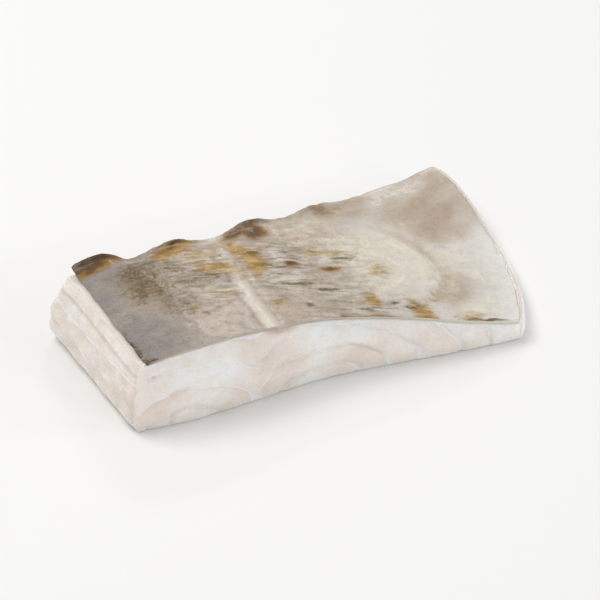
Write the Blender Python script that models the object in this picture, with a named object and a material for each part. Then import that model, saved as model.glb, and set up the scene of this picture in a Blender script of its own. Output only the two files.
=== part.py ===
"""Desalted salt cod: one skin-on portion of a fillet, lying skin side up.

The portion is cut straight across the fillet. X runs from the thick loin at the back
of the fish to the thin belly flap, Y runs along the fish, and Z is up. It is made of
two pieces: the block of flaky white flesh, and the thin skin that lies over its top.
"""

from math import exp, floor, hypot, pi, sin

import bmesh
import bpy
from mathutils import Matrix, Vector

MM = 0.001


def stations(*pairs):
    """Turn (place, size) pairs in millimetres into metres."""
    return [(place * MM, size * MM) for place, size in pairs]


def shares(*pairs):
    """Keep the place of each pair as a share from 0 to 1, and turn its size into metres."""
    return [(place, size * MM) for place, size in pairs]


def along(*pairs):
    """Turn the place of each pair into metres, and keep its size as a share."""
    return [(place * MM, size) for place, size in pairs]


# ---- driving sizes: places are measured from the loin edge of the top, along X ----

MIDDLE_X = 66.9 * MM          # what is subtracted so that the origin is below the middle
MIDDLE_Y = -0.4 * MM

# height of the skin above the table, from the loin to the belly
HEIGHT = stations((0, 25.5), (10, 27.5), (24, 28.5), (45, 26.8), (70, 22.5),
                  (92, 17), (110, 11.5), (126, 8), (140, 6))

# the two cuts across the fish, seen from above
FRONT_CUT = stations((0, -23.5), (20, -26), (40, -26.3), (62, -26.7), (84, -30.5),
                     (106, -35), (124, -38))
BACK_CUT = stations((0, 28.5), (20, 27), (40, 25.8), (64, 26.5), (84, 30),
                    (108, 34.6), (132, 37))

# the rounded end of the belly flap, from the front cut (0) to the back cut (1)
BELLY_END = shares((0, 126), (0.2, 133), (0.45, 137.5), (0.7, 139), (0.9, 137.5), (1, 135.5))

# how the loin end leans out below the skin, from the table (0) to the top (1)
LOIN_LEAN = shares((0, -3.2), (0.25, -5.2), (0.6, -3.8), (0.85, -1.4), (1, 0.4))
LOIN_LEAN_FRONT = 0.6         # the lean at the front corner, as a share of that at the back
LOIN_LAYERS = 3.3             # flat layers that show in the loin end
LOIN_LAYER_DEPTH = 0.45 * MM

# how far each cut swells out below the skin, as a share of its swell
SWELL_SHAPE = [(0, 0.55), (0.35, 1.0), (0.75, 0.6), (1, 0.0)]
FRONT_SWELL = 2.2 * MM
BACK_SWELL = 3.6 * MM
SWELL_HEIGHT = 28.5 * MM      # where the flesh is this tall, the cut swells and rolls most

SKIN = 0.8 * MM
SKIN_GAP = 0.35 * MM          # between the skin and the flesh below it
SKIN_START = 2.5 * MM         # the flesh shows this far before the skin begins
BELLY_FRINGE = 2.6 * MM       # and this far beyond it, at the belly end

# the back corner of the belly flap curls up off the table
CURL_RISE = 7.5 * MM
CURL_FROM, CURL_TO = 98 * MM, 134 * MM
CURL_ACROSS = 0.5             # the curl starts half way across the portion
FLAP_UNDER = 0.88             # share of the curl that the underside follows

# a low oval pad on the belly, which fades out towards the loin
PAD_X, PAD_Y = 91 * MM, -4 * MM
PAD_LONG, PAD_WIDE = 20 * MM, 23 * MM
PAD_EDGE = 0.22               # the soft edge, as a share of the pad
PAD_FROM, PAD_TO = 72 * MM, 94 * MM
PAD_RISE = 1.1 * MM
PAD_FLESH = 0.6               # share of the pad that the flesh below the skin has

# the skin rolls down at the back cut, and stands up there in small lips
ROLL_FROM = 0.84
ROLL_DROP = 2.3 * MM
ROLL_BACK = 2.6 * MM
LIP_SHARE = along((0, 0.8), (4, 1.05), (9, 1.15), (13, 1.0), (16.5, 0.55), (20, 0), (25, 0.12),
                  (30, 0.4), (35, 0.68), (38.5, 0.6), (42, 0.34), (46.5, 0.18), (51, 0.26),
                  (56.5, 0.68), (62, 1.1), (66, 1.0), (70, 0.72), (75, 0.55), (80, 0.64),
                  (86, 0.98), (92, 1.05), (112, 0.92), (122, 0.6), (128, 0.7), (140, 0.9))

# the top of the flesh rolls down further below that edge, and follows the lips in part
FLESH_ROLL = 4.4 * MM
FLESH_LIPS = 0.5

# flakes of the flesh, as rings round two centres in each cut
FLAKE_PITCH = 7.6 * MM
FLAKE_DEPTH = 1.3 * MM
FLAKE_LEAN = 0.75             # share of a flake that slopes in; the rest springs back
FLAKE_CHANGE = 2.4            # how the depth varies from flake to flake
SHALLOWEST_FLAKE = 0.4
FLAKE_EDGE = 3.5 * MM         # the flakes fade out this close to the skin
LOIN_RINGS = (15 * MM, 0 * MM)
BELLY_RINGS = (61 * MM, -3 * MM)
RINGS_MEET = 38 * MM
RING_FLATNESS = 0.72          # rings are wider than they are tall

# the line of the pin bones, a shallow groove across the underside that ends before the cuts
BONE_LINE = 49 * MM
BONE_WIDTH = 2.6 * MM
BONE_DEPTH = 1.0 * MM
BONE_ENDS = 0.12              # share of the way across in which it fades out

END_RADIUS = 3.0 * MM
CUT_RADIUS = 1.2 * MM
CORNER_RADIUS = 2.6 * MM
BLOCK_LENGTH = 140 * MM       # used only to turn the radii above into shares

FLESH_CELLS = (58, 18, 12)
SKIN_CELLS = (60, 16)
CROWDING = 0.72               # how much closer the cells lie at the edges of the block


# ---- small helpers ----

def curve_at(points, place):
    """The value at a place on the smooth curve through the given points."""
    if place <= points[0][0]:
        return points[0][1]
    if place >= points[-1][0]:
        return points[-1][1]
    last = len(points) - 1
    index = max(i for i in range(last) if points[i][0] <= place)
    (x0, y0), (x1, y1) = points[index], points[index + 1]
    xa, ya = points[max(index - 1, 0)]
    xb, yb = points[min(index + 2, last)]
    span = x1 - x0
    t = (place - x0) / span
    slope0 = (y1 - ya) / (x1 - xa) * span
    slope1 = (yb - y0) / (xb - x0) * span
    return ((2 * t**3 - 3 * t**2 + 1) * y0 + (t**3 - 2 * t**2 + t) * slope0
            + (3 * t**2 - 2 * t**3) * y1 + (t**3 - t**2) * slope1)


def ease(start, end, value):
    """0 before start, 1 after end, and a smooth step between."""
    t = min(max((value - start) / (end - start), 0.0), 1.0)
    return t * t * (3 - 2 * t)


def mix(low, high, share):
    return low + (high - low) * share


def rounded(p, q, length, height, radius):
    """Round the corners of a rectangle: p and q are shares of its two sides."""
    radius = min(radius, 0.48 * height, 0.48 * length)
    x, z = p * length, q * height
    inner_x = min(max(x, radius), length - radius)
    inner_z = min(max(z, radius), height - radius)
    out_x, out_z = x - inner_x, z - inner_z
    if out_x and out_z:
        pull = max(abs(out_x), abs(out_z)) / hypot(out_x, out_z)
        x = inner_x + out_x * pull
        z = inner_z + out_z * pull
    return x / length, z / height


def crowd(share):
    """Move evenly spaced cells closer together near both ends."""
    return share - CROWDING * sin(2 * pi * share) / (2 * pi)


# ---- the form of the portion ----

def curl(x, across):
    """How far the back corner of the flap is lifted."""
    return CURL_RISE * ease(CURL_FROM, CURL_TO, x) * ease(CURL_ACROSS, 1.0, across)


def pad(x, y):
    """The low oval pad, 1 on it and 0 around it."""
    away = hypot((x - PAD_X) / PAD_LONG, (y - PAD_Y) / PAD_WIDE)
    return (1.0 - ease(1.0 - PAD_EDGE, 1.0, away)) * ease(PAD_FROM, PAD_TO, x)


def lip(x):
    """1 where the edge of the skin stands up at the back cut, 0 where it lies down."""
    return curve_at(LIP_SHARE, x)


def skin_height(x, y, across):
    """The top of the skin."""
    roll = ease(ROLL_FROM, 1.0, across)
    return (curve_at(HEIGHT, x) + curl(x, across) + PAD_RISE * pad(x, y)
            - ROLL_DROP * roll * (1.0 - lip(x)))


def flesh_height(x, y, across):
    """The top of the flesh, a little below the skin."""
    roll = ease(ROLL_FROM - 0.04, 1.0, across)
    height = curve_at(HEIGHT, x)
    drop = FLESH_ROLL * height / SWELL_HEIGHT * (1.0 - FLESH_LIPS * min(lip(x), 1.0))
    return (height + curl(x, across) + PAD_RISE * PAD_FLESH * pad(x, y)
            - drop * roll - SKIN - SKIN_GAP)


def underside(x, across):
    """The table side: flat, apart from the curled flap and the line of the pin bones."""
    ends = ease(0.0, BONE_ENDS, across) * ease(1.0, 1.0 - BONE_ENDS, across)
    groove = BONE_DEPTH * exp(-((x - BONE_LINE) / BONE_WIDTH) ** 2) * ends
    return FLAP_UNDER * curl(x, across) + groove


def flake(x, z):
    """Depth of the flaky relief in a cut, from 0 at a flake's crest to 1 between two."""
    centre = LOIN_RINGS if x < RINGS_MEET else BELLY_RINGS
    ring = hypot((x - centre[0]) * RING_FLATNESS, z - centre[1]) / FLAKE_PITCH
    share = ring - floor(ring)
    depth = mix(SHALLOWEST_FLAKE, 1.0, 0.5 + 0.5 * sin(FLAKE_CHANGE * floor(ring)))
    if share < FLAKE_LEAN:
        return depth * (share / FLAKE_LEAN) ** 2
    return depth * (1.0 - share) / (1.0 - FLAKE_LEAN)


def loin_face(across, up):
    """X of the loin end, which leans out below the skin and shows flat layers."""
    lean = curve_at(LOIN_LEAN, up) * mix(LOIN_LEAN_FRONT, 1.0, across)
    layers = LOIN_LAYER_DEPTH * sin(2 * pi * LOIN_LAYERS * up + 1.6 * sin(pi * across))
    return lean + layers * ease(1.0, 0.8, up) * ease(0.0, 0.2, up)


def flesh_point(a, b, c):
    """Where a point of the unit block lands: a along X, b along Y and c up."""
    guess_x = BLOCK_LENGTH * a
    height = curve_at(HEIGHT, guess_x) - SKIN - SKIN_GAP
    width = curve_at(BACK_CUT, guess_x) - curve_at(FRONT_CUT, guess_x)
    a, c = rounded(a, c, BLOCK_LENGTH, height, END_RADIUS)
    b, c = rounded(b, c, width, height, CUT_RADIUS)
    a, b = rounded(a, b, BLOCK_LENGTH, width, CORNER_RADIUS)

    x = mix(loin_face(b, c), curve_at(BELLY_END, b), a)
    front, back = curve_at(FRONT_CUT, x), curve_at(BACK_CUT, x)
    top = flesh_height(x, mix(front, back, b), b)
    bottom = underside(x, b)
    z = mix(bottom, top, c)

    swell = curve_at(SWELL_SHAPE, c) * (top - bottom) / SWELL_HEIGHT
    carve = FLAKE_DEPTH * flake(x, z) * ease(0.0, FLAKE_EDGE, top - z)
    front += carve - FRONT_SWELL * swell
    back += BACK_SWELL * swell - carve
    return Vector((x - MIDDLE_X, mix(front, back, b) - MIDDLE_Y, z))


def skin_point(a, b):
    """Where a point of the unit sheet lands on the top of the skin."""
    x = mix(SKIN_START, curve_at(BELLY_END, b) - BELLY_FRINGE, a)
    front, back = curve_at(FRONT_CUT, x), curve_at(BACK_CUT, x)
    back -= ROLL_BACK * (1.0 - min(lip(x), 1.0))
    y = mix(front, back, b)
    return Vector((x - MIDDLE_X, y - MIDDLE_Y, skin_height(x, y, b)))


# ---- Blender objects ----

def clear_scene():
    for thing in list(bpy.data.objects):
        bpy.data.objects.remove(thing, do_unlink=True)


def plain_material(name, colour, roughness):
    material = bpy.data.materials.new(name)
    material.use_nodes = True
    shader = material.node_tree.nodes["Principled BSDF"]
    shader.inputs["Base Color"].default_value = (*colour, 1.0)
    shader.inputs["Roughness"].default_value = roughness
    shader.inputs["Metallic"].default_value = 0.0
    return material


def make_object(name, bm, material):
    bmesh.ops.recalc_face_normals(bm, faces=bm.faces)
    mesh = bpy.data.meshes.new(name)
    bm.to_mesh(mesh)
    bm.free()
    mesh.shade_smooth()
    mesh.materials.append(material)
    thing = bpy.data.objects.new(name, mesh)
    bpy.context.scene.collection.objects.link(thing)
    return thing


def unit_block(cells):
    """A closed cube from 0 to 1, cut into the given number of cells along each axis."""
    bm = bmesh.new()
    bmesh.ops.create_cube(bm, size=1.0, matrix=Matrix.Translation((0.5, 0.5, 0.5)))
    for axis, count in enumerate(cells):
        along = [edge for edge in bm.edges
                 if abs(edge.verts[0].co[axis] - edge.verts[1].co[axis]) > 0.5]
        bmesh.ops.subdivide_edges(bm, edges=along, cuts=count - 1, use_grid_fill=True)
    return bm


def make_flesh():
    bm = unit_block(FLESH_CELLS)
    for vert in bm.verts:
        vert.co = flesh_point(*(crowd(share) for share in vert.co))
    bmesh.ops.triangulate(bm, faces=bm.faces)
    return make_object("flesh", bm, plain_material("cod_flesh", (0.80, 0.72, 0.64), 0.42))


def make_skin():
    bm = bmesh.new()
    bmesh.ops.create_grid(bm, x_segments=SKIN_CELLS[0], y_segments=SKIN_CELLS[1], size=0.5)
    for vert in bm.verts:
        vert.co = skin_point(vert.co.x + 0.5, vert.co.y + 0.5)
    skin = make_object("skin", bm, plain_material("cod_skin", (0.36, 0.32, 0.27), 0.35))
    shell = skin.modifiers.new("thickness", "SOLIDIFY")
    shell.thickness = SKIN
    shell.offset = -1.0
    return skin


def main():
    clear_scene()
    make_flesh()
    make_skin()


main()
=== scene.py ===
from math import cos, pi, radians, sin

import bmesh
import bpy
import numpy as np
from mathutils import Matrix, Vector, noise


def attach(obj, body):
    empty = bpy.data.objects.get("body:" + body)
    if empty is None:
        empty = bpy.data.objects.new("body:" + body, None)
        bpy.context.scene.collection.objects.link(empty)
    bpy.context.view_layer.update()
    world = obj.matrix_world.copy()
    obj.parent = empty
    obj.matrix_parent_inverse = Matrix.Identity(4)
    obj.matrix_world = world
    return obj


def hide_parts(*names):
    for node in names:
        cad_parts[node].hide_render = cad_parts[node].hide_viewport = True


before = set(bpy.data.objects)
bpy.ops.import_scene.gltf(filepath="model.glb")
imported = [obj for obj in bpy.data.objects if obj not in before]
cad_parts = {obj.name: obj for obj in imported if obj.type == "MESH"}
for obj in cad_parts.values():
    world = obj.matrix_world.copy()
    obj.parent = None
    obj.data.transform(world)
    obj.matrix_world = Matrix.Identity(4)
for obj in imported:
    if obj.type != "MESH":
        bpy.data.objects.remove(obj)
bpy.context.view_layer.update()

mm = 0.001

# The form of the cod portion, in mm. Places run along x from the loin edge of the skin.
portion = {
    "middle": (66.9, -0.4),
    "length": 140.0,
    "height": [(0, 25.5), (10, 27.5), (24, 28.5), (45, 26.8), (70, 22.5), (92, 17),
               (110, 11.5), (126, 8), (140, 6)],
    "frontCut": [(0, -23.5), (20, -26), (40, -26.3), (62, -26.7), (84, -30.5), (106, -35),
                 (124, -38)],
    "backCut": [(0, 28.5), (20, 27), (40, 25.8), (64, 26.5), (84, 30), (108, 34.6),
                (132, 37)],
    "bellyEnd": [(0, 126), (0.2, 133), (0.45, 137.5), (0.7, 139), (0.9, 137.5), (1, 135.5)],
    "loinLean": [(0, -3.2), (0.25, -5.2), (0.6, -3.8), (0.85, -1.4), (1, 0.4)],
    "swellShape": [(0, 0.55), (0.35, 1.0), (0.75, 0.6), (1, 0.0)],
    "frontSwell": 2.2,
    "backSwell": 3.6,
    "swellHeight": 28.5,
    "curlRise": 7.5,
    "curlAlong": (98, 134),
    "curlAcross": 0.5,
    "flapUnder": 0.88,
    "pad": (91, -4, 20, 23, 1.1),          # x, y, half length, half width, rise
    "padEdge": 0.13,
    "padAlong": (72, 94),
    "padFlesh": 0.6,
    "rollFrom": 0.84,
    "rollDrop": 2.3,
    "rollBack": 2.6,
    "lips": [(0, 0.8), (4, 1.05), (9, 1.15), (13, 1.0), (16.5, 0.55), (20, 0), (25, 0.12),
             (30, 0.4), (35, 0.68), (38.5, 0.6), (42, 0.34), (46.5, 0.18), (51, 0.26),
             (56.5, 0.68), (62, 1.1), (66, 1.0), (70, 0.72), (75, 0.55), (80, 0.64),
             (86, 0.98), (92, 1.05), (112, 0.92), (122, 0.6), (128, 0.7), (140, 0.9)],
    "fleshRoll": 4.4,
    "fleshLips": 0.5,
    "skin": 0.8,
    "skinStart": 2.5,
    "fringe": 2.6,
}


# sums on whole arrays of points

def curveAt(points, place):
    xs, ys = np.array(points, float).T
    last = len(xs) - 1
    place = np.clip(place, xs[0], xs[-1])
    i = np.clip(np.searchsorted(xs, place, side="right") - 1, 0, last - 1)
    before, after = np.maximum(i - 1, 0), np.minimum(i + 2, last)
    span = xs[i + 1] - xs[i]
    t = (place - xs[i]) / span
    slope0 = (ys[i + 1] - ys[before]) / (xs[i + 1] - xs[before]) * span
    slope1 = (ys[after] - ys[i]) / (xs[after] - xs[i]) * span
    return ((2 * t**3 - 3 * t**2 + 1) * ys[i] + (t**3 - 2 * t**2 + t) * slope0
            + (3 * t**2 - 2 * t**3) * ys[i + 1] + (t**3 - t**2) * slope1)


def ease(start, end, value):
    t = np.clip((value - start) / (end - start), 0.0, 1.0)
    return t * t * (3 - 2 * t)


def mix(low, high, share):
    return low + (high - low) * share


def rounded(p, q, length, height, radius):
    radius = np.minimum(radius, np.minimum(0.48 * height, 0.48 * length))
    x, z = p * length, q * height
    innerX, innerZ = np.clip(x, radius, length - radius), np.clip(z, radius, height - radius)
    outX, outZ = x - innerX, z - innerZ
    reach = np.hypot(outX, outZ)
    pull = np.where(reach > 1e-9, np.maximum(abs(outX), abs(outZ)) / np.maximum(reach, 1e-9), 1.0)
    return (innerX + outX * pull) / length, (innerZ + outZ * pull) / height


def crowd(share, amount):
    return share - amount * np.sin(2 * pi * share) / (2 * pi)


def grain(x, y, z, size, seed):
    spots = np.stack(np.broadcast_arrays(x / size, y / size, z / size + seed * 7.31), axis=-1)
    spots = spots.reshape(-1, 3).tolist()
    return np.fromiter((noise.noise(spot) for spot in spots), float, len(spots))


# the sum of several grains, each given by its height, its size in mm and its seed
def grains(x, y, z, layers):
    return sum(height * grain(x, y, z, size, seed) for height, size, seed in layers)


# 1 at the ridge, falling away to both sides
def ridge(offset, width):
    return np.exp(-(offset / width) ** 2)


def turned(x, y, degrees):
    c, s = cos(radians(degrees)), sin(radians(degrees))
    return x * c + y * s, y * c - x * s


# the form, as the CAD has it

def curl(x, across):
    start, end = portion["curlAlong"]
    return portion["curlRise"] * ease(start, end, x) * ease(portion["curlAcross"], 1.0, across)


def padAt(x, y):
    atX, atY, long, wide, rise = portion["pad"]
    away = np.hypot((x - atX) / long, (y - atY) / wide)
    return rise * (1.0 - ease(1.0 - portion["padEdge"], 1.0, away)) * ease(*portion["padAlong"], x)


def lipAt(x):
    return curveAt(portion["lips"], x)


def skinTop(x, y, across):
    roll = ease(portion["rollFrom"], 1.0, across)
    return (curveAt(portion["height"], x) + curl(x, across) + padAt(x, y)
            - portion["rollDrop"] * roll * (1.0 - lipAt(x)))


def fleshTop(x, y, across):
    height = curveAt(portion["height"], x)
    roll = ease(portion["rollFrom"] - 0.04, 1.0, across)
    drop = portion["fleshRoll"] * height / portion["swellHeight"]
    drop *= 1.0 - portion["fleshLips"] * np.minimum(lipAt(x), 1.0)
    return (height + curl(x, across) + portion["padFlesh"] * padAt(x, y) - drop * roll
            - portion["skin"])


# meshes and objects

def unitBlock(cells):
    bm = bmesh.new()
    bmesh.ops.create_cube(bm, size=1.0, matrix=Matrix.Translation((0.5, 0.5, 0.5)))
    for axis, count in enumerate(cells):
        along = [e for e in bm.edges if abs(e.verts[0].co[axis] - e.verts[1].co[axis]) > 0.5]
        bmesh.ops.subdivide_edges(bm, edges=along, cuts=count - 1, use_grid_fill=True)
    return bm


def unitSheet(cells):
    bm = bmesh.new()
    bmesh.ops.create_grid(bm, x_segments=cells[0], y_segments=cells[1], size=0.5,
                          matrix=Matrix.Translation((0.5, 0.5, 0.0)))
    return bm


def meshFrom(bm, name):
    mesh = bpy.data.meshes.new(name)
    bm.to_mesh(mesh)
    bm.free()
    return mesh


def pointsOf(mesh):
    flat = np.empty(len(mesh.vertices) * 3, np.float32)
    mesh.vertices.foreach_get("co", flat)
    return flat.reshape(-1, 3).astype(float).T


def placePoints(mesh, x, y, z):
    middleX, middleY = portion["middle"]
    spots = np.stack([x - middleX, y - middleY, z], axis=-1) * mm
    mesh.vertices.foreach_set("co", spots.astype(np.float32).ravel())
    mesh.update()
    mesh.shade_smooth()


def paint(mesh, name, values):
    layer = mesh.attributes.new(name, "FLOAT", "POINT")
    layer.data.foreach_set("value", np.asarray(values, np.float32))


def addPiece(name, mesh, materials, node):
    thing = bpy.data.objects.new(name, mesh)
    bpy.context.scene.collection.objects.link(thing)
    for material in materials:
        mesh.materials.append(material)
    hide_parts(node)
    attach(thing, "root")
    return thing


# shader helpers

def tone(red, green, blue):
    def linear(c):
        c /= 255
        return c / 12.92 if c <= 0.04045 else ((c + 0.055) / 1.055) ** 2.4
    return (linear(red), linear(green), linear(blue), 1.0)


def feed(tree, socket, value):
    if isinstance(value, bpy.types.NodeSocket):
        tree.links.new(value, socket)
    else:
        socket.default_value = value


def addNode(tree, kind, inputs, **settings):
    made = tree.nodes.new("ShaderNode" + kind)
    for name, value in settings.items():
        setattr(made, name, value)
    for name, value in inputs.items():
        feed(tree, made.inputs[name], value)
    return made


def calc(tree, operation, first, second=0.0):
    return addNode(tree, "Math", {0: first, 1: second}, operation=operation).outputs[0]


def times(tree, first, *others):
    for other in others:
        first = calc(tree, "MULTIPLY", first, other)
    return first


def plus(tree, first, *others):
    for other in others:
        first = calc(tree, "ADD", first, other)
    return first


def blend(tree, share, first, second, mode="MIX"):
    made = addNode(tree, "Mix", {0: share, 6: first, 7: second}, data_type="RGBA",
                   blend_type=mode, clamp_factor=True)
    return made.outputs[2]


# lay several colours over each other, each with the share that it covers
def laid(tree, colour, layers):
    for share, cover in layers:
        colour = blend(tree, share, colour, cover)
    return colour


def remap(tree, value, fromLow, fromHigh, toLow=0.0, toHigh=1.0):
    made = addNode(tree, "MapRange", {0: value, 1: fromLow, 2: fromHigh, 3: toLow, 4: toHigh},
                   interpolation_type="SMOOTHSTEP")
    return made.outputs[0]


def painted(tree, name):
    return addNode(tree, "Attribute", {}, attribute_name=name).outputs["Fac"]


def greyOf(tree, value):
    return addNode(tree, "CombineColor", {0: value, 1: value, 2: value}).outputs[0]


# object coordinates in mm, turned about z and then stretched
def spread(tree, stretch=(1, 1, 1), turn=0.0):
    where = tree.nodes.new("ShaderNodeTexCoord").outputs["Object"]
    made = addNode(tree, "Mapping", {"Vector": where, "Rotation": (0, 0, radians(turn)),
                                     "Scale": (1000, 1000, 1000)})
    return addNode(tree, "Mapping", {"Vector": made.outputs[0], "Scale": stretch}).outputs[0]


def cloud(tree, where, size, detail=3.0, rough=0.55, twist=0.0):
    made = addNode(tree, "TexNoise", {"Vector": where, "Scale": 1.0 / size, "Detail": detail,
                                      "Roughness": rough, "Distortion": twist})
    return made.outputs["Fac"]


def cellsOf(tree, where, size, feature="F1", randomness=1.0):
    made = addNode(tree, "TexVoronoi", {"Vector": where, "Scale": 1.0 / size,
                                        "Randomness": randomness}, feature=feature)
    return made.outputs["Distance"]


# shift the places by a cloud, so that what is drawn on them looks grown
def warped(tree, where, size, amount):
    drift = addNode(tree, "TexNoise", {"Vector": where, "Scale": 1.0 / size, "Detail": 2.0})
    moved = addNode(tree, "VectorMath", {0: drift.outputs["Color"], 1: (0.5, 0.5, 0.5)},
                    operation="SUBTRACT").outputs[0]
    moved = addNode(tree, "VectorMath", {0: moved, "Scale": amount}, operation="SCALE").outputs[0]
    return addNode(tree, "VectorMath", {0: where, 1: moved}, operation="ADD").outputs[0]


# turn a painted field, 0.5 at the edge of its spots, into patches with ragged edges
def patches(tree, name, ragged):
    reach, soft, strength = skin["patches"][name]
    field = plus(tree, painted(tree, name), times(tree, plus(tree, ragged, -0.5), reach))
    return times(tree, remap(tree, field, 0.5 - soft, 0.5 + soft), strength)


def newMaterial(name, surface):
    material = bpy.data.materials.new(name)
    material.use_nodes = True
    tree = material.node_tree
    shader = tree.nodes["Principled BSDF"]
    for socket, value in surface.items():
        shader.inputs[socket].default_value = value
    return material, tree, shader


# each height comes with its depth in mm and its strength
def bumps(tree, shader, heights, sizes):
    normal = None
    for height, (depth, strength) in zip(heights, sizes):
        inputs = {"Height": height, "Distance": depth * mm, "Strength": strength}
        if normal is not None:
            inputs["Normal"] = normal
        normal = addNode(tree, "Bump", inputs).outputs["Normal"]
    tree.links.new(normal, shader.inputs["Normal"])


# the flesh: a flaky block with two cut faces, a layered loin end and a bone side

flesh = {
    "cells": (230, 88, 46),
    "crowding": 0.55,             # how far the cells crowd towards the edges of the block
    "endRadius": 3.0,
    "cutRadius": 1.0,
    "cornerRadius": 2.6,
    "endInset": 0.03,
    "topInset": 0.06,
    "bareLoin": (3.4, 1.0),       # from where to where along x no skin covers the flesh
    "bareBelly": (-3.6, -1.4),    # the same, from the belly end
    "bareTop": 0.5,               # how much higher the flesh lies there
    "bonePress": 2.6,             # half width of the groove that the pin bones leave
    # the cuts: nested flakes about one middle at the loin and one at the belly
    "loinRings": (15, 0),
    "bellyRings": (61, -3),
    "firstBellyRing": 9.0,
    "ringsMeet": 38,
    "ringFlatness": 0.72,
    "ringSkew": 0.12,
    "plainMiddle": (0.5, 1.1),
    "flakePitch": 7.6,
    "bulge": 0.85,                # how far the seam between two flakes lies below their middles
    "shingle": 0.55,              # how far each flake steps back under the next one
    "shingleTurn": 0.92,          # where across a flake the step turns back
    "gapDepth": 0.6,
    "gapWidth": 0.4,
    "gapGrain": (9.0, 5),                 # size in mm and seed
    "swellGrain": (11.0, 17),
    "carved": 0.25,
    "across": (5.0, 40.0),        # stretch and reach of the pattern from one cut to the other
    # the loin end: layers over the whole height, slanting flakes below, grooves between
    "loinLayers": 3.3,
    "loinLayerDepth": 0.3,
    "slant": (0.8, 0.42, 6.0, 0.35),      # rise, run, pitch in mm, wander
    "slantDepth": 0.7,
    "grooves": [(0.83, 0.02, 1.0), (0.6, 0.05, 0.25)],   # share of the height, wander, strength
    "grooveWidth": 0.02,
    "grooveDepth": 0.5,
    "loinJellyAndShade": (0.8, 1.0),              # how much of the jelly tone covers the loin end, at the top and below: clear flesh below, painted shade at the top
    # the bone side: zigzag flakes
    "boneLine": 49.0,
    "zigzag": (8, 41.0, 26.0),            # start, run, reach
    "zigzagPitch": 8.0,
    "seamWidth": 0.7,
    "seamDepth": 0.6,
    "zigzagStep": 0.25,
    "darkMeatAt": (47, 0.3, 8.0, 3.2),    # x, depth, half length, half height
    # uneven forms, each a list of height, size in mm and seed
    "ringWarpX": [(3.2, 18.0, 1), (0.8, 6.0, 11)],
    "ringWarpZ": [(2.4, 16.0, 2), (0.7, 5.0, 12)],
    "meetWarp": [(4.0, 8.0, 4)],
    "ringGrain": [(0.04, 2.2, 3)],
    "cutGrain": [(0.24, 5.0, 6), (0.096, 1.7, 16)],
    "loinDrift": [(1.3, 16.0, 7), (0.5, 5.0, 19)],
    "zigzagDrift": [(2.5, 12.0, 8), (0.8, 4.0, 18)],
    "rough": [(0.25, 6.0, 9)],
    "roughInset": 0.25,
    "roughTop": 0.15,             # how much of the unevenness the top gets
    "loinGrain": [(0.06, 1.4, 10)],
    # colours
    "milk": tone(251, 249, 247),
    "pearl": tone(245, 240, 235),
    "glassy": tone(231, 217, 206),
    "rosy": tone(247, 235, 229),
    # clear, jelly-like flesh, and painted shade over the top of the loin end
    "jellyAndShade": tone(212, 198, 184),
    "line": tone(254, 252, 249),
    # gap tone: clearer flesh in the gaps and grooves, with painted shade in these recesses
    "gapAndShadeTone": tone(206, 188, 168),
    "filmTone": tone(196, 180, 156),
    "darkMeat": tone(196, 164, 142),
    "boneTone": tone(240, 176, 134),
    # how much each colour covers
    "covers": {"glassy": 0.85, "rosy": 0.55, "line": 0.8, "gap": 0.25, "layer": 0.35,
               "groove": 0.5, "film": 0.55, "boneSpots": 0.75, "boneWash": 0.2},
    # size in mm, detail and roughness of each cloud
    "clouds": {"broad": (16.0, 2.0), "patchy": (5.0, 4.0), "fine": (0.8, 4.0, 0.6),
               "rosy": (14.0, 2.0), "bones": (2.6, 3.0), "fibres": (1.4, 4.0, 0.65)},
    # depth in mm and strength: fibres, leaves within a flake, fibre ends, dimples
    "bumps": [(0.20, 0.35), (0.05, 0.2), (0.06, 0.2), (0.5, 0.35)],
    "leavesPerFlake": 4,
    "roughness": (0.24, 0.40),
    "surface": {"IOR": 1.38, "Subsurface Weight": 0.85, "Subsurface Radius": (1.0, 0.68, 0.48),
                "Subsurface Scale": 3.0 * mm, "Coat Weight": 0.8, "Coat Roughness": 0.08,
                "Coat IOR": 1.33},
}


# the number of the flake at each place of a cut, and 0 in the plain middle of the rings
def ringField(x, z, y):
    warpX = grains(x, y * 0.15, z, flesh["ringWarpX"])
    warpZ = grains(x, y * 0.15, z, flesh["ringWarpZ"])
    meet = flesh["ringsMeet"] + grains(z, y * 0.1, z * 0, flesh["meetWarp"])
    rings = []
    for centre, turns in ((flesh["loinRings"], 1.0), (flesh["bellyRings"], -1.0)):
        alongX = (x + warpX - centre[0]) * flesh["ringFlatness"]
        alongZ = z + warpZ - centre[1]
        skew = flesh["ringSkew"] * turns * np.arctan2(alongZ, alongX)
        rings.append(np.hypot(alongX, alongZ) / flesh["flakePitch"] + skew)
    plump = ease(*flesh["plainMiddle"], np.where(x < meet, rings[0], rings[1]))
    ring = np.where(x < meet, rings[0], rings[1] + flesh["firstBellyRing"])
    return ring + grains(x, y * 0.3, z, flesh["ringGrain"]), plump


# how deep each place of a cut lies, with the number of its flake and the open gaps
def flakeRelief(x, z, y):
    ring, plump = ringField(x, z, y)
    number = np.floor(ring)
    share = ring - number
    toGap = np.minimum(share, 1.0 - share) * flesh["flakePitch"]
    opened = grain(x, y * 0.2, z, *flesh["gapGrain"]) + 0.2 * np.sin(number * 5.1)
    strength = 0.55 + 0.45 * np.sin(number * 2.4 + 0.8)
    turn = flesh["shingleTurn"]
    step = np.where(share < turn, (share / turn) ** 1.6, ease(1.0, turn, share))
    uneasy = mix(0.35, 1.15, ease(-0.25, 0.3, grain(x, y * 0.2, z, *flesh["swellGrain"])))
    swelling = uneasy * (0.6 + 0.4 * strength) * np.abs(2 * share - 1) ** 6
    shingle = flesh["shingle"] * strength * step + flesh["bulge"] * swelling
    gap = plump * ease(-0.15, 0.35, opened) * ridge(toGap, flesh["gapWidth"])
    uneven = grains(x, y, z, flesh["cutGrain"])
    return shingle * plump + flesh["gapDepth"] * gap + uneven + flesh["carved"], ring, gap


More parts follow.
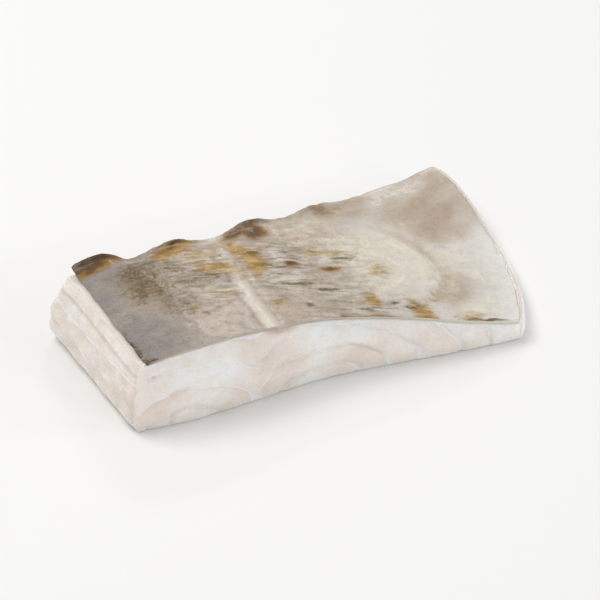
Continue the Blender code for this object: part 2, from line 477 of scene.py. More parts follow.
# the relief of the loin end, and what is painted on it
def loinRelief(b, c, wide, tall):
    drift = grains(b * 60, c * 25, c * 0, flesh["loinDrift"])
    rise, run, pitch, wander = flesh["slant"]
    slant = (c * tall * rise - b * wide * run) / pitch + wander * drift
    share = slant - np.floor(slant)
    wave = 2 * pi * flesh["loinLayers"] * c + 1.6 * np.sin(pi * b) + 0.8 * drift
    layered = flesh["loinLayerDepth"] * np.sin(wave) * ease(1.0, 0.8, c)
    flaky = flesh["slantDepth"] * share ** 2 * ease(1.0, 0.9, share) * ease(0.74, 0.6, c)
    groove = sum(strength * ridge(c - height + sway * drift, flesh["grooveWidth"])
                 for height, sway, strength in flesh["grooves"])
    relief = (layered + flaky) * ease(0.0, 0.2, c) + flesh["grooveDepth"] * groove
    # the jelly share: clear flesh lower down, painted shade over the top of the loin end
    return relief, {"layer": share ** 2 * ease(0.72, 0.6, c), "groove": groove,
                    "jellyAndShade": mix(*flesh["loinJellyAndShade"], ease(0.68, 0.2, c + 0.05 * drift))}


# the zigzag flakes of the bone side: their numbers, their seams and their relief
def boneRelief(x, y):
    start, run, reach = flesh["zigzag"]
    zigzag = np.abs(((x - start) / run) % 2.0 - 1.0) * reach
    chevron = (y + zigzag + grains(x, y, y * 0, flesh["zigzagDrift"])) / flesh["zigzagPitch"]
    share = chevron - np.floor(chevron)
    seam = ridge(np.minimum(share, 1 - share) * flesh["zigzagPitch"], flesh["seamWidth"])
    return chevron, seam, flesh["seamDepth"] * seam + flesh["zigzagStep"] * share


def buildFlesh():
    mesh = meshFrom(unitBlock(flesh["cells"]), "codFlesh")
    a, b, c = (crowd(share, flesh["crowding"]) for share in pointsOf(mesh))
    guess = portion["length"] * a
    tall = curveAt(portion["height"], guess) - portion["skin"]
    wide = curveAt(portion["backCut"], guess) - curveAt(portion["frontCut"], guess)
    isTop, isUnder, isLoin = c > 0.999, c < 0.001, a < 0.001
    a, c = rounded(a, c, portion["length"], tall, flesh["endRadius"])
    b, c = rounded(b, c, wide, tall, flesh["cutRadius"])
    a, b = rounded(a, b, portion["length"], wide, flesh["cornerRadius"])

    # the loin end leans out below the skin
    lean = curveAt(portion["loinLean"], c) * mix(0.6, 1.0, b)
    faced, loinPaint = loinRelief(b, c, wide, tall)
    end = curveAt(portion["bellyEnd"], b)
    x = mix(lean + faced, end - flesh["endInset"], a)

    front, back = curveAt(portion["frontCut"], x), curveAt(portion["backCut"], x)
    y = mix(front, back, b)
    bare = np.clip(ease(*flesh["bareLoin"], x) + ease(*flesh["bareBelly"], x - end), 0, 1)
    top = fleshTop(x, y, b) - flesh["topInset"] + flesh["bareTop"] * bare
    inside = ease(0.0, 0.12, b) * ease(1.0, 0.88, b)
    bottom = portion["flapUnder"] * curl(x, b)
    bottom += ridge(x - flesh["boneLine"], flesh["bonePress"]) * inside
    z = mix(bottom, top, c)

    # the two cuts, each with its own flakes sunk into the face
    swell = curveAt(portion["swellShape"], c) * (top - bottom) / portion["swellHeight"]
    stretch, reach = flesh["across"]
    sunk, ring, gap = flakeRelief(x, z, np.clip(stretch * y, -reach, reach))
    fade = ease(0.2, 2.4, top - z) * mix(0.5, 1.0, ease(0.0, 3.0, z - bottom))
    carve = sunk * fade
    frontY = front + carve - portion["frontSwell"] * swell
    backY = back - carve + portion["backSwell"] * swell
    y = mix(frontY, backY, b)
    toCut = np.minimum(y - frontY, backY - y)

    chevron, seam, zigzagged = boneRelief(x, y)
    inward = ease(0.0, 4.0, toCut)
    z = z + np.where(isUnder, zigzagged * inward, 0.0)

    # soft unevenness, always inward so that the block keeps its size
    rough = flesh["roughInset"] + grains(x, y, z, flesh["rough"])
    x = np.where(isLoin, x + rough + grains(x, y, z, flesh["loinGrain"]), x)
    z = np.where(isTop, z - flesh["roughTop"] * rough, z)

    placePoints(mesh, x, y, z)
    onCut = 1.0 - ease(0.0, 1.2, toCut)
    meatX, meatDepth, meatLong, meatTall = flesh["darkMeatAt"]
    meat = np.hypot((x - meatX) / meatLong, (top - z - meatDepth) / meatTall)
    paint(mesh, "ring", np.where(isUnder, chevron, ring))
    paint(mesh, "gap", np.where(isUnder, 0.35 * seam * inward, gap * onCut * fade))
    paint(mesh, "cut", onCut)
    paint(mesh, "below", np.maximum(top - z, 0.0))
    paint(mesh, "bones", np.where(isUnder, ridge(x - flesh["boneLine"], 3.2), 0.0))
    paint(mesh, "darkMeat", onCut * (1 - ease(0.3, 1.0, meat)))
    for name, values in loinPaint.items():
        paint(mesh, name, np.where(isLoin, values, 0.0))
    return addPiece("codFlesh", mesh, [fleshMaterial()], "flesh")


def fleshMaterial():
    material, tree, shader = newMaterial("pearlyCodFlesh", flesh["surface"])
    where, clouds, covers = spread(tree), flesh["clouds"], flesh["covers"]
    ring, below, cut = (painted(tree, name) for name in ("ring", "below", "cut"))
    broad, patchy, fine = (cloud(tree, where, *clouds[name])
                           for name in ("broad", "patchy", "fine"))

    # milky flesh with clear patches, clearer where a flake slips under the next
    share = calc(tree, "FRACT", ring)
    flake = times(tree, calc(tree, "SINE", times(tree, calc(tree, "FLOOR", ring), 2.7)), cut)
    milky = plus(tree, patchy, times(tree, flake, 0.08))
    slip = times(tree, remap(tree, share, 0.45, 1.0), cut)
    deep = times(tree, remap(tree, below, 3.0, 20.0), cut)
    clear = plus(tree, broad, times(tree, patchy, 0.2), times(tree, slip, 0.05),
                 times(tree, deep, 0.22), times(tree, flake, 0.04))
    # clear jelly-like flesh on the loin end, and painted shade over its top
    jellyAndShade = times(tree, painted(tree, "jellyAndShade"), remap(tree, patchy, 0.3, 0.7, 0.3, 0.75))
    rosy = cloud(tree, spread(tree, (1, 1, 2.0)), *clouds["rosy"])
    # thin white sheets of connective tissue, seen on edge
    edge = calc(tree, "ABSOLUTE", plus(tree, share, -0.5))
    sheet = times(tree, remap(tree, edge, 0.42, 0.485), remap(tree, patchy, 0.25, 0.5))
    meat = times(tree, painted(tree, "darkMeat"), remap(tree, patchy, 0.3, 0.6, 0.5, 0.9))
    # the darker film just under the skin
    film = remap(tree, plus(tree, below, times(tree, patchy, 1.4)), 1.9, 0.8)
    # pin bones: a row of orange pink spots
    spots = cloud(tree, spread(tree, (0.8, 1, 1)), *clouds["bones"])
    spots = remap(tree, spots, 0.46, 0.6)
    spots = plus(tree, times(tree, spots, covers["boneSpots"]), covers["boneWash"])

    colour = laid(tree, flesh["milk"], [
        (remap(tree, milky, 0.3, 0.7), flesh["pearl"]),
        (times(tree, remap(tree, clear, 0.5, 0.95), covers["glassy"]), flesh["glassy"]),
        (jellyAndShade, flesh["jellyAndShade"]),
        (times(tree, remap(tree, rosy, 0.4, 0.75), covers["rosy"]), flesh["rosy"]),
        (times(tree, sheet, covers["line"]), flesh["line"]),
        # the open gaps and seams between flakes: clearer flesh and painted shade in them
        (times(tree, painted(tree, "gap"), covers["gap"]), flesh["gapAndShadeTone"]),
        (times(tree, painted(tree, "layer"), covers["layer"]), flesh["glassy"]),
        # the loin grooves: the same clearer tone, with painted shade in the grooves
        (times(tree, painted(tree, "groove"), covers["groove"]), flesh["gapAndShadeTone"]),
        (meat, flesh["darkMeat"]),
        (times(tree, film, covers["film"]), flesh["filmTone"]),
        (times(tree, painted(tree, "bones"), spots), flesh["boneTone"]),
    ])
    shade = greyOf(tree, remap(tree, fine, 0.25, 0.75, 0.97, 1.02))
    colour = blend(tree, 1.0, colour, shade, "MULTIPLY")
    tree.links.new(colour, shader.inputs["Base Color"])

    fibres = cloud(tree, spread(tree, (2.2, 0.45, 2.2)), *clouds["fibres"])
    ends = cellsOf(tree, warped(tree, where, 3.0, 1.5), 0.75)
    leaves = times(tree, plus(tree, ring, times(tree, fine, 0.15)),
                   2 * pi * flesh["leavesPerFlake"])
    leaves = times(tree, calc(tree, "SINE", leaves), cut)
    bumps(tree, shader, (fibres, leaves, ends, patchy), flesh["bumps"])
    tree.links.new(remap(tree, fine, 0.3, 0.7, *flesh["roughness"]), shader.inputs["Roughness"])
    return material


# the skin: thin and mottled, with lips along the back cut

# each painted spot is x, y, half length, half width, tilt in degrees, strength
skin = {
    "cells": (320, 140),
    "crowding": (0.2, 0.25),
    "sunk": 0.43,                 # how far the sheet lies below the form before its waves lift it
    "backInset": 0.1,
    "frontOver": 0.25,            # how far the skin reaches over the front cut
    "lipLift": 0.8,
    "endLengths": (60, 70),       # of the loin end and the belly end, for the grain along them
    # uneven forms, each a list of height, size in mm and seed
    "startRagged": [(0.5, 7.0, 20), (0.2, 1.6, 21)],
    "stopRagged": [(0.6, 7.0, 22), (0.25, 1.8, 29)],
    "backRagged": [(0.35, 3.0, 23), (0.2, 1.1, 35)],
    "frontRagged": [(0.2, 4.0, 24), (0.03, 1.5, 36)],
    "waves": [(0.34, 20.0, 25), (0.18, 8.0, 26), (0.10, 2.6, 27)],
    "wobbleX": [(1.0, 5.0, 30), (0.5, 1.8, 31)],
    "wobbleY": [(1.0, 5.0, 32), (0.5, 1.8, 33)],
    "markBend": [(0.45, 2.6, 38)],
    "lineUneven": [(0.5, 4.0, 34)],
    # long wrinkles and threads that slope across the side
    "threadTurn": -14,
    "wrinkleHeight": 0.5,
    "wrinkleGrain": (1.7, 28),    # size in mm and seed
    "wrinkleStretch": 0.14,
    # the lateral line
    "lateralLine": [(-38, 44.0), (-22, 45.0), (-10, 45.1), (-3, 45.9), (7, 47.4), (21, 49.0),
        (30, 50)],
    "lineHalf": 1.6,
    "lineBack": 0.34,             # how much of its colour is left near the back cut
    "lineRidge": (0.12, 1.6),     # height, half width
    "lineFurrows": (0.06, 2.8, 0.9),      # depth, how far off the line, half width
    # the pad: ridges, and pale arcs round its middle that are partly painted highlight, as height
    # or strength, reach, width
    "padRims": [(0.18, 0.9, 0.05), (-0.12, 1.04, 0.04)],
    "padRimsAlong": (94, 103),    # from where to where along x they set in
    "padArcs": [(0.55, 0.93, 0.028), (0.35, 0.74, 0.03), (0.3, 0.56, 0.03)],
    "discs": [(102.5, -5.5, 8.5, 10.5), (91, -6.5, 7.5, 8.5)],   # x, y, half length, half width
    "discRim": (0.6, 0.07),       # strength, width
    "arcsAlong": (92, 101),
    "arcsAcross": (-26, -16),
    "padShade": (1.06, 0.06),     # reach, width
    "padShadeAlong": (98, 106),
    # the ribs of the flap, spreading from one place
    "ribsFrom": (78, -4),
    "ribSpread": (9, 0.06),       # how dense they are across and along
    "ribGrain": (1.0, 37),
    "ribHeight": 0.28,
    "ribsAlong": (108, 120),
    "spokesAlong": (106, 118),
    # the pale belly and its clear fringe
    "bellyAlong": (66, 112),
    "fringeAlong": (108, 122),
    "fringeAcross": (18, 6),
    "fringeWidth": 10.0,
    # painted spots, and last how dark the edge of the lips is at some places along x
    "dorsal": [(3, -16, 13, 14, 0, 1.15), (2, 12, 9, 16, 0, 0.9), (8, -15, 14, 10, 0, 0.8),
        (12, 17, 10, 8, 0, 0.9), (31, -15, 8, 7, 0, 0.26)],
    "blush": [(26, -18, 16, 7, 0, 0.8), (34, -12, 12, 8, 0, 0.8), (12, -2, 8, 8, 0, 0.6),
        (56, -20, 9, 6, 0, 0.9), (75, 24, 12, 5, 0, 0.8), (29, 22, 9, 3, 10, 0.8),
        (40, 20, 6, 3, 0, 0.7), (80, 16, 9, 6, 0, 1.0), (70, 20, 6, 4, 0, 0.9)],
    "net": [(22.5, 9, 8, 8, -20, 1.5), (31, 5.5, 8, 6, -20, 0.85), (24, -3, 5, 8, 25, 1.1),
        (22, 16, 8, 4, 0, 1.0), (38, 4, 7, 5, -18, 0.95), (27, -8, 6, 2.6, -8, 0.8)],
    "threads": [(40, 9, 10, 5.5, -12, 1.0), (63, 7, 12, 7, -14, 1.25),
        (64, -7, 13, 7, -14, 1.0), (38, -4, 9, 4, -14, 0.9), (79, 3, 9, 5, -10, 0.9),
        (76, -27, 14, 4, 0, 0.8), (72, -17, 9, 5, -20, 0.8), (45, 19, 6, 3, 0, 0.6)],
    "gold": [(9.5, 22.6, 7.5, 1.6, -4, 0.85), (49.4, 15, 2.0, 6, 8, 0.6),
        (46.8, 4, 1.7, 6, 6, 0.75), (103, -21.5, 8, 2.4, 35, 0.5), (39, 14, 6, 4, 0, 0.7),
        (52.2, 13, 2.3, 5, 12, 1.3), (54, 6, 2.6, 5.5, -8, 1.4), (41.5, 7, 5.5, 2.3, -25, 1.1),
        (74.6, 7.2, 4.0, 3.0, -30, 0.7), (81, 4.5, 6, 2.2, -12, 0.7),
        (80.8, -21.5, 2.2, 3.4, 0, 1.0), (90.5, -6.8, 3.4, 3.8, 0, 0.7),
        (39, -5.2, 5, 1.0, -14, 0.9), (51.5, -15, 4.6, 2.4, 0, 0.65),
        (33.5, 20.3, 6.2, 2.9, 15, 1.4), (94.5, -30, 3.2, 4.4, 0, 1.2),
        (109, -33, 4.5, 2.2, 0, 0.8), (76, -3, 4.0, 1.5, -8, 0.8), (28, -8, 5.5, 1.0, -8, 0.6),
        (62, 12, 4, 1.4, -14, 0.6), (46.5, -20, 2, 1, 0, 0.6)],
    "rust": [(8.6, 26.2, 9, 3.0, 0, 1.3), (8, 23.4, 7, 2.4, 0, 0.95),
        (16, 24.5, 4, 1.6, -20, 0.7), (61.5, 21.2, 3.8, 3.6, -25, 1.2),
        (56, 22.0, 6.5, 2.2, 16, 1.0), (61, 18.4, 2.2, 2.2, 0, 0.8),
        (88.6, 27.8, 4.4, 3.4, 15, 0.72), (93, 29, 5, 2.2, 12, 0.55),
        (76, -2.7, 3.2, 1.2, -6, 1.0), (65.7, 2.2, 2.2, 1.2, -14, 1.1),
        (78, -30.8, 6.5, 1.9, -12, 1.2), (70, -28.0, 4, 0.9, -10, 1.0),
        (35.5, 23.6, 3.0, 1.1, 0, 1.1), (32, 21.2, 5, 2.0, 16, 0.85),
        (117, -36.4, 5, 0.6, -14, 1.3), (95, -34.5, 2.6, 2.2, 0, 1.2)],
    "marks": [(60.1, -7.3, 5.8, 0.9, -13, 1.3), (69.8, -13.4, 3.1, 1.2, -18, 1.4),
        (61, -19, 1.8, 1.2, -12, 1.3), (62, 2.3, 5.4, 0.8, -17, 1.2),
        (65.7, 9.5, 4.2, 0.7, -18, 1.1), (65.8, 2.0, 2.2, 1.3, -20, 1.0),
        (83.4, 0.9, 3.4, 1.5, -8, 1.2), (57, -1.4, 5.2, 0.45, -6, 0.9),
        (40.8, 11.7, 4.0, 0.5, -6, 0.9), (45.7, 12, 1.1, 1.1, 0, 1.0),
        (62, 6.4, 6.5, 0.5, -14, 1.0), (56, 10.4, 3, 0.8, -14, 1.0),
        (2.4, -23.4, 3.6, 1.0, -20, 1.5), (3.2, -16, 0.8, 7, 0, 1.0),
        (92.5, -27, 3.5, 1.4, 20, 0.9), (41, 19.7, 1.8, 0.5, -30, 1.0),
        (77, -25, 7, 1.2, -8, 0.9), (88, -24, 3, 1.2, 10, 0.8), (30, 23.6, 6, 0.5, 18, 0.9),
        (107.5, -34.8, 3.5, 1.0, 0, 1.1), (63, 23.0, 2.4, 1.3, -40, 1.1),
        (71, 5.5, 2.2, 0.8, -20, 0.9)],
    # the narrow tan spots at x 111 to 113, along the pad's right rim, are partly painted shade
    # beside its step; the rest is the flap's own tan
    "tan": [(123, 21, 15, 12, 0, 1.25), (118, 12, 8, 7, 0, 1.0), (99, 26, 12, 5, 12, 0.75),
        (111, -17.5, 10, 6.5, 68, 1.05), (124, 31, 10, 6, 0, 1.0), (90, 24, 8, 5, 0, 0.6),
        (102, 31, 14, 4, 12, 0.8), (119, -6, 7, 4, -40, 0.4), (112, 3, 3, 11, 5, 0.8),
        (113, -10, 4, 9, 0, 0.85), (130, 20, 9, 11, 0, 1.25)],
    "cream": [(77, 20, 11, 4.5, 0, 0.75), (33, -2, 5, 3, 0, 0.7), (94, 0, 6, 6, 0, 1.0),
        (98, -3, 13.5, 14.2, 20, 1.3), (87, 4, 10, 8, 0, 1.15), (114, -28.5, 5.5, 3.8, 10, 1.0),
        (58, -3.8, 6, 1.0, -8, 1.0), (100, 13, 10, 3.4, 15, 1.0), (63, 4.6, 6, 0.9, -14, 0.9),
        (48, 24, 3, 3, 0, 0.9), (74, 12, 6, 1.4, -10, 0.7), (118, 0, 9, 1.6, -28, 0.8),
        (122, -12, 9, 1.5, -35, 0.8), (90, -16, 5, 3, 0, 0.9), (62, -8.5, 8, 5, -14, 0.42),
        (75, -14, 9, 5, 0, 0.38)],
    "darkLips": [(0, 0.8), (6, 0.5), (13, 0.7), (17, 0.25), (32, 0.3), (36, 0.85), (40, 0.4),
        (48, 0.1), (58, 0.35), (63, 0.75), (67, 0.5), (72, 0.1), (85, 0.25), (95, 0)],
    "markStrength": 0.68,
    "lipEdgeAcross": (0.945, 0.985),
    # how far the ragged edge of each kind of spot reaches, its softness and its cover
    "patches": {
        "blush": (1.6, 0.3, 0.6), "dorsal": (0.9, 0.45, 0.9), "tan": (0.5, 0.34, 0.8),
        "cream": (1.2, 0.42, 0.7), "net": (1.5, 0.4, 1.0), "gold": (1.0, 0.34, 0.92),
        "marks": (2.4, 0.3, 0.85), "rust": (1.0, 0.34, 0.92),
    },
    # how much each other colour covers
    "covers": {
        "pale": 0.4, "shade": 0.35, "spokes": 0.3, "wash": 0.57, "net": 0.66, "darkThreads": 0.4,
        "lightThreads": 0.5, "fringe": 0.75, "rim": 0.7,
    },
    "grey": tone(174, 161, 146),
    "dorsalTone": tone(138, 131, 127),
    "blushTone": tone(184, 165, 149),
    "bellyTone": tone(215, 210, 202),
    "lineTone": tone(226, 220, 205),
    # pale flecks of the threads, partly painted glints
    "fleckAndGlintTone": tone(216, 209, 202),
    "creamTone": tone(222, 213, 194),
    "paleTone": tone(206, 197, 184),
    "goldTone": tone(154, 118, 46),
    "goldLight": tone(184, 150, 84),
    "rustTone": tone(80, 52, 0),
    "rustLight": tone(139, 95, 10),
    "netTone": tone(76, 54, 6),
    "washTone": tone(121, 93, 34),
    "markTone": tone(92, 74, 24),
    "threadTone": tone(112, 92, 42),
    "tanTone": tone(172, 150, 128),
    "fringeTone": tone(228, 226, 220),
    "rimTone": tone(58, 46, 20),
    "edgeTone": tone(212, 204, 192),
    # size in mm, detail, roughness and twist of each cloud
    "clouds": {
        "broad": (11.0, 3.0), "mottle": (3.0, 5.0, 0.62), "speck": (1.3, 4.0, 0.65),
        "fine": (0.55, 3.0, 0.6), "streaky": (1.6, 4.0, 0.6), "thread": (1.7, 3.0, 0.5),
        "worms": (1 / 0.72, 5.0, 0.6, 0.6), "edge": (5.0, 2.0),
    },
    "netTurn": 16,
    # depth in mm and strength: scales, mottling, fine grain, threads
    "bumps": [(0.12, 0.5), (0.35, 0.6), (0.07, 0.45), (0.22, 0.5)],
    "roughness": (0.30, 0.48),
    "surface": {"IOR": 1.38, "Specular IOR Level": 0.35, "Subsurface Weight": 0.10,
                "Subsurface Radius": (1.0, 0.6, 0.4), "Subsurface Scale": 1.0 * mm,
                "Coat Weight": 0.45, "Coat Roughness": 0.12, "Coat IOR": 1.33},
    "edgeBumps": [(0.1, 0.4)],
    "edgeSurface": {"Roughness": 0.55, "Coat Weight": 0.15, "Coat Roughness": 0.3},
}


# 1 in the middle of each spot, 0.5 at its edge and 0 as far out again
def spotField(x, y, spots):
    field = np.zeros_like(x)
    for atX, atY, long, wide, tilt, strength in spots:
        p, q = turned(x - atX, y - atY, tilt)
        field = np.maximum(field, strength * np.clip(1 - 0.5 * np.hypot(p / long, q / wide), 0, 1))
    return np.minimum(field, 1.0)


# how far the long fine wrinkles rise where the threads are painted
def wrinkles(x, y, threads):
    p, q = turned(x, y, skin["threadTurn"])
    folds = grain(p * skin["wrinkleStretch"], q, x * 0, *skin["wrinkleGrain"])
    return skin["wrinkleHeight"] * np.clip(threads - 0.2, 0, 1) * folds


# the low ridge of the lateral line, with a furrow on each side
def lineRelief(offLine):
    height, half = skin["lineRidge"]
    depth, aside, furrow = skin["lineFurrows"]
    return height * ridge(offLine, half) - depth * ridge(np.abs(offLine) - aside, furrow)


# ribs that spread over the flap and grow wider on their way
def ribsAt(x, y):
    fromX, fromY = skin["ribsFrom"]
    across, along = np.arctan2(y - fromY, x - fromX), np.hypot(x - fromX, y - fromY)
    dense, long = skin["ribSpread"]
    return grain(across * dense, along * long, x * 0, *skin["ribGrain"])


# pale arcs round the pad, and pale rims of its flat discs: partly the skin's own pale lines,
# partly painted highlight along the pad's rims
def arcsAt(x, y, rim):
    arcs = sum(strength * ridge(rim - reach, width) for strength, reach, width in skin["padArcs"])
    arcs = arcs * ease(*skin["arcsAlong"], x) * ease(*skin["arcsAcross"], y)
    strength, width = skin["discRim"]
    for atX, atY, across, along in skin["discs"]:
        disc = np.hypot((x - atX) / across, (y - atY) / along)
        arcs += strength * ridge(disc - 1, width) * ease(atX - 4, atX + 3, x)
    return arcs


def buildSkin():
    mesh = meshFrom(unitSheet(skin["cells"]), "codSkin")
    a, b, _ = pointsOf(mesh)
    a, b = crowd(a, skin["crowding"][0]), crowd(b, skin["crowding"][1])
    flat = a * 0

    # ragged edges; along the back cut the skin rolls in, except at its lips
    loinLength, bellyLength = skin["endLengths"]
    start = portion["skinStart"] + grains(b * loinLength, flat, flat, skin["startRagged"])
    stop = curveAt(portion["bellyEnd"], b) - portion["fringe"]
    stop += grains(b * bellyLength, flat, flat, skin["stopRagged"])
    x = mix(start, stop, a)
    lip = np.clip(lipAt(x), 0, 1)
    back = curveAt(portion["backCut"], x) - portion["rollBack"] * (1.0 - lip) - skin["backInset"]
    back += grains(x, flat, flat, skin["backRagged"])
    front = curveAt(portion["frontCut"], x) - skin["frontOver"]
    front += grains(x, flat, flat, skin["frontRagged"])
    y = mix(front, back, b)

    # relief: soft waves, wrinkles, the lateral line, the rim of the pad, ribs and lips
    threads = spotField(x, y, skin["threads"])
    offLine = x - curveAt(skin["lateralLine"], y)
    padX, padY, padLong, padWide, _ = portion["pad"]
    rim = np.hypot((x - padX) / padLong, (y - padY) / padWide)
    ribs = ribsAt(x, y)
    z = skinTop(x, y, b) - skin["sunk"] + grains(x, y, flat, skin["waves"])
    z += wrinkles(x, y, threads) + lineRelief(offLine)
    rims = sum(height * ridge(rim - reach, width) for height, reach, width in skin["padRims"])
    z += rims * ease(*skin["padRimsAlong"], x)
    z += skin["ribHeight"] * ribs * ease(*skin["ribsAlong"], x)
    z += skin["lipLift"] * lip * ease(0.95, 1.0, b) * ease(-2, 6, x) * ease(100, 80, x)
    placePoints(mesh, x, y, z)

    wobbleX = x + grains(x, y, flat, skin["wobbleX"])
    wobbleY = y + grains(x, y, flat, skin["wobbleY"])
    for name in ("dorsal", "blush", "net", "gold", "rust", "tan", "cream"):
        paint(mesh, name, spotField(wobbleX, wobbleY, skin[name]))
    bend = grains(x, y, flat, skin["markBend"])
    marks = spotField(x + bend, y + bend, skin["marks"])
    paint(mesh, "marks", skin["markStrength"] * marks)
    paint(mesh, "threads", threads)
    half = skin["lineHalf"] + grains(x, y, flat, skin["lineUneven"]) + 0.6 * ease(-8, -22, y)
    fading = mix(1.0, skin["lineBack"], ease(-8, 6, y))
    paint(mesh, "line", (1.0 - ease(0.0, half * 1.9, np.abs(offLine))) * fading)
    paint(mesh, "belly", ease(*skin["bellyAlong"], x))
    paint(mesh, "arcs", arcsAt(x, y, rim))
    reach, width = skin["padShade"]
    paint(mesh, "shade", ridge(rim - reach, width) * ease(*skin["padShadeAlong"], x))
    paint(mesh, "spokes", ease(0.0, 0.5, ribs) * ease(*skin["spokesAlong"], x))
    fringe = ease(*skin["fringeAlong"], x) * ease(*skin["fringeAcross"], y)
    paint(mesh, "fringe", fringe * ease(-skin["fringeWidth"], 0.0, x - stop))
    # the dark rim of the loin edge, strongest at the front corner
    corner = ease(9, 1, x) * ease(0.03, 0.0, b)
    loinEdge = (1 - ease(0.2, 1.1, x - start)) * (0.2 + 0.8 * ease(-6, -14, y))
    paint(mesh, "rim", np.maximum(loinEdge, corner))
    edge = ease(*skin["lipEdgeAcross"], b)
    paint(mesh, "lipEdge", edge * curveAt(skin["darkLips"], x))

    thing = addPiece("codSkin", mesh, [skinMaterial(), skinEdgeMaterial()], "skin")
    shell = thing.modifiers.new("thickness", "SOLIDIFY")
    shell.thickness = portion["skin"] * mm
    shell.offset = -1.0
    shell.material_offset = 1
    shell.material_offset_rim = 1
    return thing


def skinMaterial():
    material, tree, shader = newMaterial("mottledCodSkin", skin["surface"])
    where, clouds, covers, turn = spread(tree), skin["clouds"], skin["covers"], -skin["threadTurn"]
    broad, mottle, speck, fine = (cloud(tree, where, *clouds[name])
                                  for name in ("broad", "mottle", "speck", "fine"))
    streaky = cloud(tree, spread(tree, (0.35, 1.0, 1.0), turn), *clouds["streaky"])
    sloping = warped(tree, spread(tree, (0.17, 1.0, 1.0), turn), 2.0, 0.8)
    thread = cloud(tree, sloping, *clouds["thread"])
    belly = painted(tree, "belly")

    # faint pale blotches, a scale or two wide
    blobs = remap(tree, cellsOf(tree, warped(tree, where, 3.0, 1.6), 2.7), 0.55, 0.15)
    blobs = times(tree, blobs, remap(tree, painted(tree, "dorsal"), 0.6, 0.1, 0.02, 0.16))
    # pale arcs and disc rims on the pad: partly the skin's own pale lines, partly painted
    # highlight
    arcs = times(tree, painted(tree, "arcs"), remap(tree, mottle, 0.3, 0.6, 0.4, 1.0))

    # the brown net of the back: ragged meshes and worms with dots between
    netWhere = warped(tree, spread(tree, (0.75, 1.0, 1.0), skin["netTurn"]), 2.2, 1.4)
    meshes = remap(tree, cellsOf(tree, netWhere, 2.1, "DISTANCE_TO_EDGE"), 0.15, 0.03)
    meshes = times(tree, meshes, remap(tree, mottle, 0.35, 0.6, 0.3, 1.0))
    worm = cloud(tree, spread(tree, (0.42, 1.0, 1.0), skin["netTurn"]), *clouds["worms"])
    worms = remap(tree, calc(tree, "ABSOLUTE", plus(tree, worm, -0.5)), 0.05, 0.01)
    dots = remap(tree, plus(tree, times(tree, worm, 0.5), times(tree, speck, 0.5)), 0.50, 0.56)
    drawn = calc(tree, "MAXIMUM", calc(tree, "MAXIMUM", times(tree, worms, 0.6), dots), meshes)
    net = patches(tree, "net", mottle)

    gold = patches(tree, "gold", streaky)
    goldHue = blend(tree, remap(tree, streaky, 0.42, 0.6), skin["goldLight"], skin["goldTone"])
    rusty = plus(tree, painted(tree, "rust"), times(tree, plus(tree, streaky, -0.5), 1.1))
    rustHue = blend(tree, remap(tree, rusty, 0.45, 1.0), skin["rustLight"], skin["rustTone"])

    # dark and pale threads, fainter on the gold; the pale ones are partly painted glints
    threads = times(tree, plus(tree, painted(tree, "threads"), 0.06),
                    plus(tree, 1.0, times(tree, gold, -0.6)))
    dark = times(tree, remap(tree, thread, 0.52, 0.60), threads)
    light = times(tree, remap(tree, thread, 0.47, 0.40), threads)
    line = times(tree, painted(tree, "line"), remap(tree, mottle, 0.3, 0.65, 0.9, 0.5))
    wispy = plus(tree, times(tree, thread, 0.6), times(tree, speck, 0.4))

    # pepper: tiny dark dots, dense on the back and sparse towards the belly
    pepper = remap(tree, cellsOf(tree, warped(tree, where, 1.5, 0.8), 0.95), 0.30, 0.16)
    dense = remap(tree, plus(tree, belly, times(tree, mottle, -1.4)), 0.1, -0.75, 0.03, 0.3)
    pepper = times(tree, pepper, dense, plus(tree, 1.0, times(tree, line, -1.0)))

    ground = blend(tree, belly, skin["grey"], skin["bellyTone"])
    colour = laid(tree, ground, [
        (times(tree, remap(tree, broad, 0.5, 0.68), covers["pale"]), skin["paleTone"]),
        (patches(tree, "blush", mottle), skin["blushTone"]),
        (patches(tree, "dorsal", broad), skin["dorsalTone"]),
        (blobs, skin["paleTone"]),
        (patches(tree, "tan", mottle), skin["tanTone"]),
        (patches(tree, "cream", mottle), skin["creamTone"]),
        (arcs, skin["fringeTone"]),
        (times(tree, painted(tree, "shade"), covers["shade"]), skin["tanTone"]),
        (times(tree, painted(tree, "spokes"), covers["spokes"]), skin["fringeTone"]),
        (times(tree, net, covers["wash"]), skin["washTone"]),
        (times(tree, net, drawn, covers["net"]), skin["netTone"]),
        (gold, goldHue),
        (times(tree, dark, covers["darkThreads"]), skin["threadTone"]),
        (times(tree, light, covers["lightThreads"]), skin["fleckAndGlintTone"]),
        (line, skin["lineTone"]),
        (patches(tree, "marks", wispy), skin["markTone"]),
        (patches(tree, "rust", mottle), rustHue),
        (pepper, skin["netTone"]),
        (times(tree, painted(tree, "fringe"), covers["fringe"]), skin["fringeTone"]),
        (times(tree, painted(tree, "rim"), remap(tree, speck, 0.46, 0.6), covers["rim"]),
         skin["rimTone"]),
        (times(tree, painted(tree, "lipEdge"), remap(tree, speck, 0.3, 0.5)), skin["rimTone"]),
    ])
    uneven = plus(tree, times(tree, mottle, 0.5), times(tree, speck, 0.3), times(tree, fine, 0.2))
    shade = greyOf(tree, remap(tree, uneven, 0.34, 0.66, 0.84, 1.12))
    calm = remap(tree, belly, 0.2, 0.9, 1.0, 0.6)
    colour = blend(tree, calm, colour, shade, "MULTIPLY")
    tree.links.new(colour, shader.inputs["Base Color"])

    scales = cellsOf(tree, spread(tree, (0.8, 1.0, 1.0)), 1.1, "F1", 0.8)
    grooved = times(tree, thread, remap(tree, belly, 0.2, 0.9, 1.0, 0.25))
    bumps(tree, shader, (scales, mottle, fine, grooved), skin["bumps"])
    tree.links.new(remap(tree, mottle, 0.3, 0.7, *skin["roughness"]), shader.inputs["Roughness"])
    return material


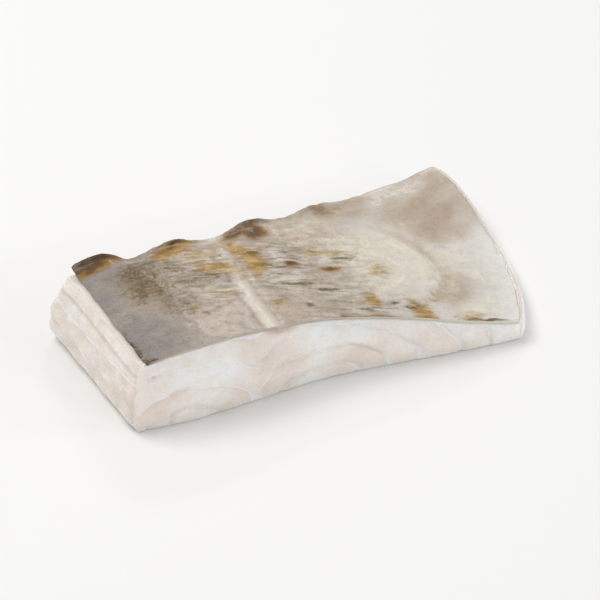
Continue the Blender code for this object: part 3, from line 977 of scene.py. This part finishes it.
def skinEdgeMaterial():
    material, tree, shader = newMaterial("cutSkinEdge", skin["edgeSurface"])
    patchy = cloud(tree, spread(tree), *skin["clouds"]["edge"])
    cut = blend(tree, remap(tree, patchy, 0.2, 0.8, 0.25, 0.75), skin["edgeTone"], skin["grey"])
    dark = calc(tree, "MAXIMUM", painted(tree, "lipEdge"), painted(tree, "rim"))
    colour = laid(tree, cut, [
        (times(tree, dark, remap(tree, patchy, 0.3, 0.5, 0.5, 1.0)), skin["rimTone"]),
        (times(tree, painted(tree, "belly"), 0.8), skin["lineTone"]),
    ])
    tree.links.new(colour, shader.inputs["Base Color"])
    bumps(tree, shader, (patchy,), skin["edgeBumps"])
    return material


# floor, light and camera

studio = {
    "floorSize": 6.0,
    "floorSurface": {"Base Color": (0.90, 0.90, 0.895, 1.0), "Roughness": 0.6},
    "skyStrength": 0.56,
    # place and size in m, watts, tint
    "lights": {
        "keySoftbox": ((-0.5, 0.45, 1.25), 0.7, 8.9, (1.0, 0.99, 0.97)),
        "backPanel": ((0.7, 1.2, 1.05), 0.32, 2.05, (0.98, 0.99, 1.0)),
        "sideRake": ((1.2, -0.7, 0.5), 0.5, 2.6, (1.0, 0.99, 0.98)),
        "frontGloss": ((0.55, -1.35, 0.75), 0.3, 2.2, (1.0, 1.0, 1.0)),
    },
    "cameraPlace": (-0.71739, -1.39651, 1.27836),
    "aim": (0.0, 0.0, 0.010),
    "lens": 392.0,
    "sensor": 36.0,
    "clip": (0.1, 20.0),
}


def buildStudio():
    bm = bmesh.new()
    bmesh.ops.create_grid(bm, x_segments=1, y_segments=1, size=studio["floorSize"] / 2)
    mesh = meshFrom(bm, "paleFloor")
    floor = bpy.data.objects.new("paleFloor", mesh)
    bpy.context.scene.collection.objects.link(floor)
    material, _, _ = newMaterial("paleFloor", studio["floorSurface"])
    mesh.materials.append(material)

    world = bpy.data.worlds.new("softSky")
    world.use_nodes = True
    sky = world.node_tree.nodes["Background"]
    sky.inputs["Color"].default_value = (1.0, 1.0, 1.0, 1.0)
    sky.inputs["Strength"].default_value = studio["skyStrength"]
    bpy.context.scene.world = world

    aim = Vector(studio["aim"])
    for name, (place, size, watts, tint) in studio["lights"].items():
        lamp = bpy.data.lights.new(name, "AREA")
        lamp.size, lamp.energy, lamp.color = size, watts, tint
        holder = bpy.data.objects.new(name, lamp)
        holder.location = place
        holder.rotation_euler = (aim - Vector(place)).to_track_quat("-Z", "Y").to_euler()
        bpy.context.scene.collection.objects.link(holder)

    lens = bpy.data.cameras.new("camera")
    lens.lens, lens.sensor_width = studio["lens"], studio["sensor"]
    lens.clip_start, lens.clip_end = studio["clip"]
    camera = bpy.data.objects.new("camera", lens)
    camera.location = studio["cameraPlace"]
    camera.rotation_euler = (aim - camera.location).to_track_quat("-Z", "Y").to_euler()
    bpy.context.scene.collection.objects.link(camera)
    bpy.context.scene.camera = camera
    bpy.context.scene.view_settings.view_transform = "Standard"


buildStudio()
print("studio ready")
buildFlesh()
print("flesh ready")
buildSkin()
print("skin ready")
